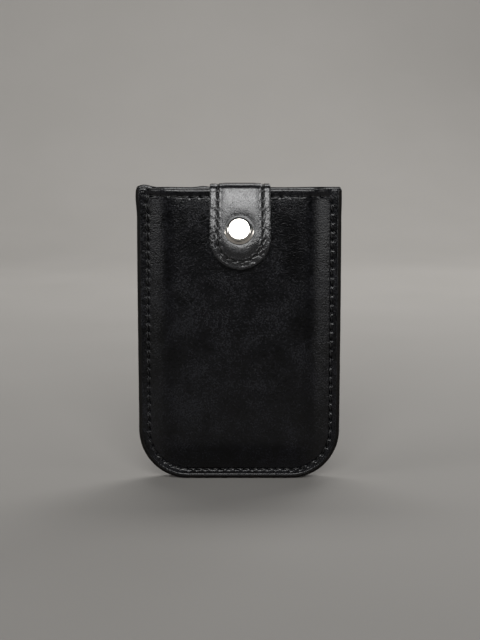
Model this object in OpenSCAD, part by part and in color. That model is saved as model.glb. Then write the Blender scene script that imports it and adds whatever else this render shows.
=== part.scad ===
// Pull-out card holder. A moulded leather shell, stitched round three sides, holds five
// card pockets that rise like stairs when the strap is pulled. The strap is sewn to the
// rear pocket, folds over the mouth and is closed on the front face by a press stud.
// Millimetres, +Z up, front towards -Y, origin at the middle of the flat bottom edge.

/* [Shell] */
// Width over the edges
shell_w = 75; // [75:0.5:80]
// Height from the bottom edge to the mouth
shell_h = 108; // [106:0.5:114]
// Thickness over the two flat faces
shell_t = 16; // [16:0.1:18]
// Thickness of the stitched rim
rim_t = 8; // [7.4:0.1:8.6]
// Width of the flat stitched rim
rim_w = 4.3; // [4:0.1:4.4]
// Width of the moulded shoulder between rim and face
shoulder_w = 5; // [4.6:0.1:5]
// Outer radius of the two bottom corners
corner_r = 18.3; // [16:0.1:20]
// Radius that rounds the rim's edge
edge_r = 2; // [1.6:0.1:2.2]
// Thickness of the edge coating
coat_t = 0.35; // [0.2:0.05:0.4]
// Width of the spacer sewn between the two panels
welt_w = 5.5; // [5:0.1:6]

/* [Panel layers] */
// Outer leather
leather_t = 0.9; // [0.8:0.05:1]
// Stiffening board
board_t = 0.5; // [0.4:0.05:0.6]
// Inner lining
lining_t = 0.3; // [0.2:0.05:0.3]

/* [Pockets] */
// Card width the pockets are made for
card_w = 54; // [53.5:0.1:54]
// Play left for the card in the slot
card_play = 0.6; // [0.4:0.1:0.6]
// Thickness of one pocket ply
ply_t = 0.5; // [0.4:0.05:0.5]
// Width of the slot that takes a card
slot_t = 1; // [0.9:0.05:1]
// Width of the bonded edge round a pocket
pocket_edge = 1.2; // [1:0.1:1.2]
// Height of the pockets' lower edge above the base
pocket_z = 14.5; // [14:0.1:16]
// Radius of a pocket's lower corners
pocket_r = 6; // [4:0.5:8]
// Drop from the mouth to the rear ply's top
rear_drop = 2.5; // [2:0.1:4]
// Drop from the mouth to the front ply's top
front_drop = 11; // [9:0.5:14]
// Depth of the thumb scoop in the front ply
scoop_d = 3; // [2:0.5:5]
// Free space in front of and behind the stack
stack_gap = 0.3; // [0.2:0.05:0.3]

/* [Ribbons] */
// Width of the elastic tape that joins neighbouring pockets
ribbon_w = 16; // [12:1:24]
// Thickness of the tape
ribbon_t = 0.3; // [0.25:0.05:0.35]
// Depth of the slack loop under the pockets
ribbon_drop = 5.2; // [4.5:0.1:5.2]

/* [Strap] */
// Strap width
strap_w = 22; // [18:0.5:26]
// Thickness of the outer strap ply
strap_leather_t = 0.7; // [0.6:0.05:0.75]
// Thickness of the inner strap ply
strap_lining_t = 0.5; // [0.4:0.05:0.5]
// Height of the rounded tip above the base
strap_tip_z = 77.5; // [72:0.5:80]
// Height of the lower end of the strap behind the rear pocket
strap_root_z = 62; // [50:1:80]
// Space between the mouth and the strap that crosses it
bridge_gap = 0.2; // [0.2:0.05:0.5]
// Space between the front face and the flap
flap_gap = 2.6; // [2.5:0.1:3]
// Inner radius of the rear fold
rear_fold_r = 0.8; // [0.6:0.1:0.9]
// Inner radius of the front fold
front_fold_r = 1.6; // [1.2:0.1:2]

/* [Snap] */
// Height of the snap's centre above the base
snap_z = 92.6; // [91:0.1:96]
// Radius of the cap's flange
cap_flange_r = 5.3; // [4.8:0.1:6]
// Radius of the cap's raised disc
cap_disc_r = 4.4; // [3.8:0.1:4.6]
// Height of the cap above the flap
cap_h = 1.2; // [1:0.1:1.6]
// Radius of the stud's foot
stud_foot_r = 4.6; // [4:0.1:5]
// Radius of the stud's head
stud_head_r = 1.9; // [1.6:0.05:1.95]
// Radius of the socket
socket_r = 4; // [3.6:0.1:4.2]

/* [Stitching] */
// Distance from one stitch to the next
stitch_pitch = 3.2; // [2.8:0.1:4]
// Length of one stitch
stitch_l = 2.3; // [1.8:0.1:2.5]
// Width of the thread
stitch_w = 0.6; // [0.4:0.05:0.7]
// Height of the thread above the leather
stitch_h = 0.25; // [0.15:0.05:0.3]
// Slant of the stitches against their line
stitch_slant = 14; // [0:1:25]
// Distance of the rim's stitch line from the edge
stitch_in = 3.65; // [3.4:0.05:3.7]

/* [Hidden] */
$fn = 64;
pocket_count = 5;
arc_steps = 7;

half_w = shell_w / 2;
half_t = shell_t / 2;
half_rim = rim_t / 2;
panel_t = leather_t + board_t + lining_t;
corner_x = half_w - corner_r;

// The shoulder is two equal arcs that meet tangent: their angle and radius.
shoulder_rise = half_t - half_rim;
shoulder_angle = 2 * atan(shoulder_rise / shoulder_w);
shoulder_r = shoulder_w / (2 * sin(shoulder_angle));

strap_t = strap_leather_t + strap_lining_t;
slot_w = card_w + card_play;
pocket_w = slot_w + 2 * pocket_edge;
pocket_t = 2 * ply_t + slot_t;
stack_room = shell_t - 2 * panel_t - 2 * stack_gap - strap_t;
pocket_pitch = (stack_room - pocket_t) / (pocket_count - 1);
stack_front = -half_t + panel_t + stack_gap;
stack_back = stack_front + stack_room;
front_ply_z = shell_h - front_drop;
rear_ply_z = shell_h - rear_drop;
pocket_stitch_h = 0.1;
ribbon_clear = 0.05;

// The strap's two folds: centres and the half gap left at each hinge line.
bridge_z = shell_h + bridge_gap;
rear_fold_y = stack_back - rear_fold_r;
rear_fold_z = bridge_z - rear_fold_r;
flap_in = half_t + flap_gap;
front_fold_y = -flap_in + front_fold_r;
front_fold_z = bridge_z - front_fold_r;
flap_out = flap_in + strap_t;
tip_z = strap_tip_z + strap_w / 2;
hinge_gap = 0.15;
strap_stitch_in = 2.7;

// Rivet and post, and the clearance in the holes they pass through.
shank_r = 1.4;
shank_clear = 0.08;
rivet_r = 4;

// The stud's top and the socket's mouth face each other just short of touching.
foot_t = 0.5;
stud_top = flap_in - 0.3;
socket_mouth = flap_in - 0.15;
socket_bore_r = 2.1;
socket_bore_d = 0.45;
spring_w = 0.22;
spring_h = 0.25;

// Mouth row of the rim stitches: its drop from the mouth and the groove it lies in.
side_row_drop = 5;
mouth_row_drop = 2.6;
mouth_row_w = 2 * (half_w - rim_w - shoulder_w) - 1;
groove_clear = 0.05;
groove_d = stitch_h + groove_clear / 2;
groove_w = stitch_l * sin(stitch_slant) + stitch_w + 2 * groove_clear;

// Front ply of a pocket: radius of its thumb scoop, and where its side stitches end.
scoop_r = 40;
pocket_row_drop = 3;

leather_black = [0.05, 0.05, 0.06];
lining_grey = [0.16, 0.16, 0.17];
board_tan = [0.45, 0.38, 0.30];
coat_brown = [0.13, 0.11, 0.10];
thread_black = [0.03, 0.03, 0.035];
nickel = [0.80, 0.79, 0.77];
ribbon_black = [0.08, 0.08, 0.09];

function flipped(points) = [for (i = [len(points) - 1:-1:0]) points[i]];

function arc(centre, r, from, to, steps = arc_steps) =
    [for (i = [0:steps])
        let (a = from + (to - from) * i / steps)
            [centre[0] + r * cos(a), centre[1] + r * sin(a)]];

// The panel's outer face moved inwards by t, as [distance from the edge, height]:
// flat rim, concave arc, convex arc, flat face.
function face_line(t) = concat(
    [[edge_r, half_rim - t]],
    arc([rim_w, half_rim + shoulder_r], shoulder_r + t, -90, -90 + shoulder_angle),
    flipped(arc([rim_w + shoulder_w, half_t - shoulder_r], shoulder_r - t,
                90, 90 + shoulder_angle)),
    [[corner_r, half_t - t]]
);

// The rounded edge under the coating, between two heights.
function edge_angle(h) = asin(min(1, (h - half_rim + edge_r) / (edge_r - coat_t)));
function edge_line(low, high) =
    arc([edge_r, half_rim - edge_r], edge_r - coat_t,
        180 - edge_angle(low), 180 - edge_angle(high), ceil((high - low) / 0.4));

// One layer of a panel, between two depths under the outer face. The leather and the
// board run out to the coated edge, the lining stops where the edge's rounding starts.
function layer_section(outer, inner, to_edge) = concat(
    face_line(outer),
    flipped(face_line(inner)),
    to_edge ? edge_line(half_rim - inner, half_rim - outer) : []
);

function coat_section() = concat(
    arc([edge_r, half_rim - edge_r], edge_r, 90, 180),
    arc([edge_r, edge_r - half_rim], edge_r, 180, 270),
    flipped(arc([edge_r, edge_r - half_rim], edge_r - coat_t, 180, 270)),
    flipped(arc([edge_r, half_rim - edge_r], edge_r - coat_t, 90, 180))
);

// Sweeps a section of [distance from the edge, height] down one side, round the
// bottom and up the other side of the shell. Height goes towards the front.
module sweep_u(section, top) {
    for (side = [0, 1])
        mirror([side, 0, 0]) {
            translate([0, 0, corner_r])
                linear_extrude(top - corner_r)
                    polygon([for (p = section) [half_w - p[0], -p[1]]]);
            translate([corner_x, 0, corner_r])
                rotate([90, 0, 0])
                    rotate([0, 0, -90])
                        rotate_extrude(angle = 90)
                            polygon([for (p = section) [corner_r - p[0], p[1]]]);
        }
    translate([-corner_x, 0, 0])
        rotate([90, 0, 90])
            linear_extrude(2 * corner_x)
                polygon([for (p = section) [-p[1], p[0]]]);
}

module panel_layer(outer, inner, to_edge = true) {
    sweep_u(layer_section(outer, inner, to_edge), shell_h);
    translate([-corner_x, outer - half_t, corner_r])
        cube([2 * corner_x, inner - outer, shell_h - corner_r]);
}

// Turns a shape drawn along +Z so that it points out of the front at the snap.
module at_snap() {
    translate([0, 0, snap_z])
        rotate([90, 0, 0])
            children();
}

module snap_hole(r) {
    at_snap()
        cylinder(h = 2 * flap_out, r = r);
}

module stitch(height, length) {
    rotate([0, stitch_slant, 0])
        translate([-stitch_w / 2, -height, -length / 2])
            cube([stitch_w, height, length]);
}

// Rim stitches, three sides and the mouth, drawn for the front panel.
module rim_stitches() {
    side_top = shell_h - side_row_drop;
    side_n = round((side_top - corner_r) / stitch_pitch);
    turn_r = corner_r - stitch_in;
    turn_n = round(turn_r * PI / 2 / stitch_pitch);
    base_n = round(2 * corner_x / stitch_pitch);
    mouth_n = round(mouth_row_w / stitch_pitch);
    for (side = [-1, 1]) {
        for (i = [0:side_n - 1])
            translate([side * (half_w - stitch_in), -half_rim,
                       corner_r + (i + 0.5) * (side_top - corner_r) / side_n])
                stitch(stitch_h, stitch_l);
        for (i = [0:turn_n - 1])
            translate([side * corner_x, -half_rim, corner_r])
                rotate([0, side * (i + 0.5) * 90 / turn_n, 0])
                    translate([side * turn_r, 0, 0])
                        stitch(stitch_h, stitch_l);
    }
    for (i = [0:base_n - 1])
        translate([(i + 0.5) * 2 * corner_x / base_n - corner_x, -half_rim, stitch_in])
            rotate([0, 90, 0])
                stitch(stitch_h, stitch_l);
    for (i = [0:mouth_n - 1])
        translate([(i + 0.5) * mouth_row_w / mouth_n - mouth_row_w / 2,
                   groove_d - half_t, shell_h - mouth_row_drop])
            rotate([0, 90, 0])
                stitch(stitch_h, stitch_l);
}

// Groove in the flat face, so that the mouth row lies flush in it.
module mouth_groove()
    translate([-mouth_row_w / 2, -half_t - 1, shell_h - mouth_row_drop - groove_w / 2])
        cube([mouth_row_w, 1 + groove_d, groove_w]);

module front_leather()
    color(leather_black)
        difference() {
            panel_layer(0, leather_t);
            mouth_groove();
            snap_hole(shank_r + shank_clear);
        }

module front_board()
    color(board_tan)
        difference() {
            panel_layer(leather_t, leather_t + board_t);
            snap_hole(shank_r + shank_clear);
        }

module front_lining()
    color(lining_grey)
        difference() {
            panel_layer(leather_t + board_t, panel_t, false);
            snap_hole(rivet_r + shank_clear);
        }

module back_leather()
    color(leather_black)
        mirror([0, 1, 0])
            difference() {
                panel_layer(0, leather_t);
                mouth_groove();
            }

module back_board()
    color(board_tan)
        mirror([0, 1, 0])
            panel_layer(leather_t, leather_t + board_t);

module back_lining()
    color(lining_grey)
        mirror([0, 1, 0])
            panel_layer(leather_t + board_t, panel_t, false);

module seam_welt() {
    h = half_rim - panel_t;
    color(leather_black)
        sweep_u([[coat_t + 0.05, -h], [welt_w, -h], [welt_w, h], [coat_t + 0.05, h]],
                shell_h);
}

module edge_coat()
    color(coat_brown)
        sweep_u(coat_section(), shell_h);

module front_stitching()
    color(thread_black)
        rim_stitches();

module back_stitching()
    color(thread_black)
        mirror([0, 1, 0])
            rim_stitches();

// The rivet's head lies flush in the lining, its shank holds the stud.
module stud_rivet()
    color(nickel)
        at_snap() {
            translate([0, 0, half_t - panel_t])
                cylinder(h = lining_t, r = rivet_r);
            translate([0, 0, half_t - panel_t])
                cylinder(h = panel_t, r = shank_r);
        }

module snap_stud() {
    foot = half_t + foot_t;
    color(nickel)
        at_snap()
            rotate_extrude()
                polygon([
                    [0, half_t], [stud_foot_r, half_t], [stud_foot_r, foot - 0.2],
                    [stud_foot_r - 0.3, foot], [stud_head_r + 0.4, foot + 0.1],
                    [stud_head_r - 0.3, foot + 0.5], [stud_head_r - 0.3, stud_top - 0.9],
                    [stud_head_r, stud_top - 0.65], [stud_head_r, stud_top - 0.4],
                    [stud_head_r - 0.25, stud_top - 0.1], [stud_head_r - 0.7, stud_top],
                    [0, stud_top]
                ]);
}

function pocket_front(i) = stack_front + (i - 1) * pocket_pitch;

// Outline of a pocket, seen from the front, inset by d, rounded at the bottom.
module pocket_outline(d, top) {
    r = pocket_r - d;
    w = pocket_w / 2 - d;
    low = pocket_z + d;
    for (side = [-1, 1])
        translate([side * (w - r), low + r])
            circle(r);
    translate([r - w, low])
        square([2 * (w - r), r]);
    translate([-w, low + r])
        square([2 * w, top - low - r]);
}

module pocket_plate(front, thick)
    translate([0, front + thick, 0])
        rotate([90, 0, 0])
            linear_extrude(thick)
                children();

module pocket_front_ply(i)
    color(leather_black)
        pocket_plate(pocket_front(i), ply_t)
            difference() {
                pocket_outline(0, front_ply_z);
                translate([0, front_ply_z + scoop_r - scoop_d])
                    circle(scoop_r, $fn = 128);
            }

module pocket_welt(i)
    color(lining_grey)
        pocket_plate(pocket_front(i) + ply_t, slot_t)
            difference() {
                pocket_outline(0, front_ply_z);
                pocket_outline(pocket_edge, front_ply_z + 1);
            }

module pocket_back_ply(i)
    color(leather_black)
        pocket_plate(pocket_front(i) + ply_t + slot_t, ply_t)
            pocket_outline(0, rear_ply_z);

module pocket_thread(i) {
    low = pocket_z + pocket_r;
    high = front_ply_z - pocket_row_drop;
    side_n = round((high - low) / stitch_pitch);
    side_x = (pocket_w - pocket_edge) / 2 - 0.2;
    base_w = pocket_w - 2 * pocket_r;
    base_n = round(base_w / stitch_pitch);
    color(thread_black)
        translate([0, pocket_front(i), 0]) {
            for (side = [-1, 1], k = [0:side_n - 1])
                translate([side * side_x, 0, low + (k + 0.5) * (high - low) / side_n])
                    stitch(pocket_stitch_h, stitch_l);
            for (k = [0:base_n - 1])
                translate([(k + 0.5) * base_w / base_n - base_w / 2, 0,
                           pocket_z + pocket_edge])
                    rotate([0, 90, 0])
                        stitch(pocket_stitch_h, stitch_l);
        }
}

// A slack loop of tape: a leg at y0 that meets its pocket, half a turn, a leg at y1.
module ribbon_loop(y0, y1) {
    turn_r = (y1 - y0) / 2;
    turn_z = pocket_z - ribbon_drop;
    color(ribbon_black) {
        translate([-ribbon_w / 2, y0 - ribbon_t / 2, turn_z])
            cube([ribbon_w, ribbon_t, ribbon_drop]);
        translate([-ribbon_w / 2, y1 - ribbon_t / 2, turn_z])
            cube([ribbon_w, ribbon_t, ribbon_drop - ribbon_clear]);
        translate([-ribbon_w / 2, y0 + turn_r, turn_z])
            rotate([90, 0, 90])
                rotate([0, 0, 180])
                    rotate_extrude(angle = 180)
                        translate([turn_r - ribbon_t / 2, 0])
                            square([ribbon_t, ribbon_w]);
    }
}

module pocket_ribbon(i)
    ribbon_loop(i == 1 ? stack_front - stack_gap + ribbon_t / 2
                       : pocket_front(i - 1) + pocket_t / 2 + ribbon_t,
                pocket_front(i) + pocket_t / 2 - ribbon_t);

// Part of a fold across the strap. Angles are measured from +Y towards +Z.
module fold(y, z, r, thick, start, sweep) {
    translate([-strap_w / 2, y, z])
        rotate([90, 0, 90])
            rotate([0, 0, start])
                mirror([0, sweep < 0 ? 1 : 0, 0])
                    rotate_extrude(angle = abs(sweep))
                        translate([r, 0])
                            square([thick, strap_w]);
}

// Each half of a fold ends just short of the hinge line in its middle.
function half_fold(fold_r) = 45 - hinge_gap / (fold_r + strap_t) * 180 / PI;

// Every strap ply is given by its depth above the strap's inner face and its thickness.
module root_ply(depth, thick) {
    translate([-strap_w / 2, stack_back + depth, strap_root_z])
        cube([strap_w, thick, rear_fold_z - strap_root_z]);
    fold(rear_fold_y, rear_fold_z, rear_fold_r + depth, thick,
         0, half_fold(rear_fold_r));
}

module bridge_ply(depth, thick) {
    fold(rear_fold_y, rear_fold_z, rear_fold_r + depth, thick,
         90, -half_fold(rear_fold_r));
    translate([-strap_w / 2, front_fold_y, bridge_z + depth])
        cube([strap_w, rear_fold_y - front_fold_y, thick]);
    fold(front_fold_y, front_fold_z, front_fold_r + depth, thick,
         90, half_fold(front_fold_r));
}

module flap_ply(depth, thick) {
    fold(front_fold_y, front_fold_z, front_fold_r + depth, thick,
         180, -half_fold(front_fold_r));
    translate([0, -flap_in - depth, 0])
        rotate([90, 0, 0])
            linear_extrude(thick) {
                translate([0, tip_z])
                    circle(strap_w / 2);
                translate([-strap_w / 2, tip_z])
                    square([strap_w, front_fold_z - tip_z]);
            }
}

module strap_root_leather()
    color(leather_black)
        root_ply(strap_lining_t, strap_leather_t);

module strap_root_lining()
    color(lining_grey)
        root_ply(0, strap_lining_t);

module strap_bridge_leather()
    color(leather_black)
        bridge_ply(strap_lining_t, strap_leather_t);

module strap_bridge_lining()
    color(lining_grey)
        bridge_ply(0, strap_lining_t);

module strap_bridge_stitching() {
    run = rear_fold_y - front_fold_y - 1;
    n = round(run / stitch_pitch);
    color(thread_black)
        for (side = [-1, 1], i = [0:n - 1])
            translate([side * (strap_w / 2 - strap_stitch_in),
                       front_fold_y + 0.5 + (i + 0.5) * run / n, bridge_z + strap_t])
                rotate([-90, 0, 0])
                    stitch(stitch_h, stitch_l);
}

module strap_flap_leather()
    color(leather_black)
        difference() {
            flap_ply(strap_lining_t, strap_leather_t);
            snap_hole(shank_r + shank_clear);
        }

module strap_flap_lining()
    color(lining_grey)
        difference() {
            flap_ply(0, strap_lining_t);
            snap_hole(socket_r + shank_clear);
        }

module strap_flap_stitching() {
    run = front_fold_z - tip_z;
    n = round(run / stitch_pitch);
    turn_r = strap_w / 2 - strap_stitch_in;
    turn_n = round(PI * turn_r / stitch_pitch);
    color(thread_black)
        translate([0, -flap_out, tip_z]) {
            for (side = [-1, 1], i = [0:n - 1])
                translate([side * turn_r, 0, (i + 0.5) * run / n])
                    stitch(stitch_h, stitch_l);
            for (i = [0:turn_n - 1])
                rotate([0, (i + 0.5) * 180 / turn_n, 0])
                    translate([turn_r, 0, 0])
                        stitch(stitch_h, stitch_l);
        }
}

module snap_cap() {
    top = flap_out + cap_h;
    color(nickel)
        at_snap()
            rotate_extrude()
                polygon([
                    [0, flap_out], [cap_flange_r - 0.3, flap_out],
                    [cap_flange_r, flap_out + 0.15], [cap_flange_r, flap_out + 0.35],
                    [cap_flange_r - 0.3, flap_out + 0.5],
                    [cap_disc_r + 0.2, flap_out + 0.3], [cap_disc_r, flap_out + 0.35],
                    [cap_disc_r - 0.05, top - 0.5], [cap_disc_r - 0.35, top - 0.2],
                    [cap_disc_r - 0.9, top - 0.08], [cap_disc_r / 2, top - 0.03], [0, top]
                ]);
}

module snap_post()
    color(nickel)
        at_snap()
            translate([0, 0, flap_in + strap_lining_t])
                cylinder(h = strap_leather_t, r = shank_r);

module snap_socket()
    color(nickel)
        at_snap()
            translate([0, 0, socket_mouth])
                difference() {
                    cylinder(h = flap_in + strap_lining_t - socket_mouth, r = socket_r);
                    translate([0, 0, -1])
                        cylinder(h = 1 + socket_bore_d, r = socket_bore_r);
                }

// Split ring that grips the stud's neck.
module snap_spring()
    color(nickel)
        at_snap()
            translate([0, 0, socket_mouth + (socket_bore_d - spring_h) / 2])
                rotate([0, 0, 120])
                    rotate_extrude(angle = 300)
                        translate([socket_bore_r - spring_w - 0.03, 0])
                            square([spring_w, spring_h]);

front_leather();
front_board();
front_lining();
back_leather();
back_board();
back_lining();
seam_welt();
edge_coat();
front_stitching();
back_stitching();
stud_rivet();
snap_stud();
pocket_ribbon(1);  // ribbon_1
pocket_ribbon(2);  // ribbon_2
pocket_ribbon(3);  // ribbon_3
pocket_ribbon(4);  // ribbon_4
pocket_ribbon(5);  // ribbon_5
pocket_front_ply(1);  // pocket_1_front_ply
pocket_welt(1);  // pocket_1_welt
pocket_back_ply(1);  // pocket_1_back_ply
pocket_thread(1);  // pocket_1_thread
pocket_front_ply(2);  // pocket_2_front_ply
pocket_welt(2);  // pocket_2_welt
pocket_back_ply(2);  // pocket_2_back_ply
pocket_thread(2);  // pocket_2_thread
pocket_front_ply(3);  // pocket_3_front_ply
pocket_welt(3);  // pocket_3_welt
pocket_back_ply(3);  // pocket_3_back_ply
pocket_thread(3);  // pocket_3_thread
pocket_front_ply(4);  // pocket_4_front_ply
pocket_welt(4);  // pocket_4_welt
pocket_back_ply(4);  // pocket_4_back_ply
pocket_thread(4);  // pocket_4_thread
pocket_front_ply(5);  // pocket_5_front_ply
pocket_welt(5);  // pocket_5_welt
pocket_back_ply(5);  // pocket_5_back_ply
pocket_thread(5);  // pocket_5_thread
strap_root_leather();
strap_root_lining();
strap_bridge_leather();
strap_bridge_lining();
strap_bridge_stitching();
strap_flap_leather();
strap_flap_lining();
strap_flap_stitching();
snap_cap();
snap_post();
snap_socket();
snap_spring();
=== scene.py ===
"""Looks of the pull-out card holder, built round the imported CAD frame.

Shapes are worked out in millimetres in the frame's axes (X right, front towards -Y, Z up)
and written to the meshes in metres. "Height" of a panel is its distance from the middle
plane y = 0, towards the front for the front panel and towards the back for the back panel.
"""
import math

import bpy
import numpy as np
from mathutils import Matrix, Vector


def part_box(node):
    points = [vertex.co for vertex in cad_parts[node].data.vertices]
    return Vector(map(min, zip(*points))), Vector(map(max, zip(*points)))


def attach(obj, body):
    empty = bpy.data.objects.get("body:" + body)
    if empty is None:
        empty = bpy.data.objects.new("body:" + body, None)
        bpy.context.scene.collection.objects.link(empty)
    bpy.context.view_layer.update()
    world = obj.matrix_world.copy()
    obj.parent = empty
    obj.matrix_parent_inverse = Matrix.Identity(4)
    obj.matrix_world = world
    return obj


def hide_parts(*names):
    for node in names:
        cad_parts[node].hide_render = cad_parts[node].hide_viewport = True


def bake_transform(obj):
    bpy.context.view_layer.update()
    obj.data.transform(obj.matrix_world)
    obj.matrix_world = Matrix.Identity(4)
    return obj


MM = 0.001
MERGE = 0.004


# -------------------- the frame's own sizes

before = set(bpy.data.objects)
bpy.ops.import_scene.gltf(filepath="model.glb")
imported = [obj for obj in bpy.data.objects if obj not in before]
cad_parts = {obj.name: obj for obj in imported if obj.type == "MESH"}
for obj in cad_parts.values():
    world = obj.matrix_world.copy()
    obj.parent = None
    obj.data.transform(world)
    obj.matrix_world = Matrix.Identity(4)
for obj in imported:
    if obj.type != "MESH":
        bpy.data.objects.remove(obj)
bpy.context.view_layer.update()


def box_mm(node):
    """Low and high corner of a CAD node's box, in millimetres."""
    low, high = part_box(node)
    return np.array(low) / MM, np.array(high) / MM


root_low, root_high = box_mm("strap_root_leather")
bridge_low, bridge_high = box_mm("strap_bridge_leather")
flap_low, flap_high = box_mm("strap_flap_leather")
cap_low, cap_high = box_mm("snap_cap")
stud_low, stud_high = box_mm("snap_stud")
socket_low, socket_high = box_mm("snap_socket")

HALF_W, HALF_RIM, SHELL_TOP = box_mm("edge_coat")[1]
HALF_T = -box_mm("front_leather")[0][1]
LINING_T = 0.3
LINING_IN = -box_mm("front_lining")[0][1] - LINING_T
CORNER_R = 18.3
CORNER_X = HALF_W - CORNER_R
RIM_IN = HALF_RIM - 1.7
SNAP_Z = (cap_low[2] + cap_high[2]) / 2
CAP_R = (cap_high[0] - cap_low[0]) / 2

STITCH_IN = 3.65
THREAD_R = 0.21
FRONT_TOP = SHELL_TOP - 0.35
BACK_TOP = SHELL_TOP
MOUTH_ROW = 2.6
ROLL_H = 0.75
# how far the turned mouth edge curls in and up, as [cut from the outer height, rise]
ROLL_CUT = np.array([[0, 0], [0.015, 0.10], [0.055, 0.26], [0.115, 0.44], [0.19, 0.58],
                     [0.34, 0.70], [0.60, 0.75]])


# -------------------- small numeric helpers


def smooth(t):
    t = np.clip(t, 0.0, 1.0)
    return t * t * (3 - 2 * t)


def bell(d, width):
    return np.exp(-((d / width) ** 2))


def noise2(a, b, cell, seed):
    """Smooth value noise from -1 to 1 with bumps about one cell wide."""
    table = np.random.default_rng(seed).uniform(-1, 1, (61, 67))
    p, q = np.asarray(a, float) / cell, np.asarray(b, float) / cell
    i, j = np.floor(p).astype(int), np.floor(q).astype(int)
    f, g = smooth(p - i), smooth(q - j)

    def at(k, m):
        return table[(i + k) % 61, (j + m) % 67]

    low = at(0, 0) * (1 - f) + at(1, 0) * f
    high = at(0, 1) * (1 - f) + at(1, 1) * f
    return low * (1 - g) + high * g


def spread(start, end, step):
    """Evenly spaced values from start to end, about one step apart."""
    return np.linspace(start, end, max(2, int(round(abs(end - start) / step)) + 1))


def chain(*parts):
    """Joins runs of values, dropping the repeated value where two runs meet."""
    out = [np.asarray(parts[0], float)]
    out += [np.asarray(p, float)[1:] for p in parts[1:]]
    return np.concatenate(out)


def graded(start, *runs):
    """Values from start through the end of each (end, step) run in turn."""
    parts = []
    for end, step in runs:
        parts.append(spread(start, end, step))
        start = end
    return chain(*parts)


def grid_faces(rows, cols, start, close_cols):
    """Quads of a grid of points stored row by row."""
    r = np.arange(rows - 1)[:, None]
    c = np.arange(cols if close_cols else cols - 1)[None, :]
    nxt = (c + 1) % cols
    quads = np.stack([r * cols + c, r * cols + nxt, (r + 1) * cols + nxt,
                      (r + 1) * cols + c], axis=-1)
    return quads.reshape(-1, 4) + start


def line_mean(a):
    """Each line's mean, in every column: the middle of a thread's ring."""
    return np.broadcast_to(a.mean(axis=-1, keepdims=True), a.shape)


def build_mesh(name, points, quads, materials, kinds):
    """Makes one mesh object from points in millimetres. Points closer than MERGE become
    one, and quads that collapse become triangles or vanish. kinds picks each quad's
    material."""
    key = np.round(points / MERGE).astype(np.int64)
    _, index, inverse = np.unique(key, axis=0, return_index=True, return_inverse=True)
    points, quads = points[index], inverse.reshape(-1)[quads]
    clean, kept = [], []
    for quad, kind in zip(quads.tolist(), kinds.tolist()):
        loop = [v for k, v in enumerate(quad) if v != quad[k - 1]]
        if len(set(loop)) == len(loop) and len(loop) > 2:
            clean.append(loop)
            kept.append(kind)
    mesh = bpy.data.meshes.new(name)
    mesh.from_pydata((points * MM).tolist(), [], clean)
    for material in materials:
        mesh.materials.append(material)
    mesh.polygons.foreach_set("material_index", kept)
    mesh.polygons.foreach_set("use_smooth", [True] * len(clean))
    mesh.update()
    obj = bpy.data.objects.new(name, mesh)
    bpy.context.scene.collection.objects.link(obj)
    return obj


class Soup:
    """Collects grids of points that end up in one mesh."""

    def __init__(self):
        self.points, self.faces, self.kinds, self.count = [], [], [], 0

    def grid(self, points, kind=0, close_cols=False, flip=False):
        """Adds a grid of points. kind is the number of its material in the mesh."""
        rows, cols = points.shape[:2]
        faces = grid_faces(rows, cols, self.count, close_cols)
        self.faces.append(faces[:, ::-1] if flip else faces)
        self.points.append(points.reshape(-1, 3))
        self.kinds.append(np.full(len(faces), kind))
        self.count += rows * cols

    def mesh(self, name, *materials):
        return build_mesh(name, np.concatenate(self.points), np.concatenate(self.faces),
                          materials, np.concatenate(self.kinds))


def finish_piece(obj, body, slot, *nodes):
    """Puts a piece on a body in the place of CAD nodes, which it hides. slot is not used."""
    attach(obj, body)
    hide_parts(*nodes)


# -------------------- materials


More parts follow.
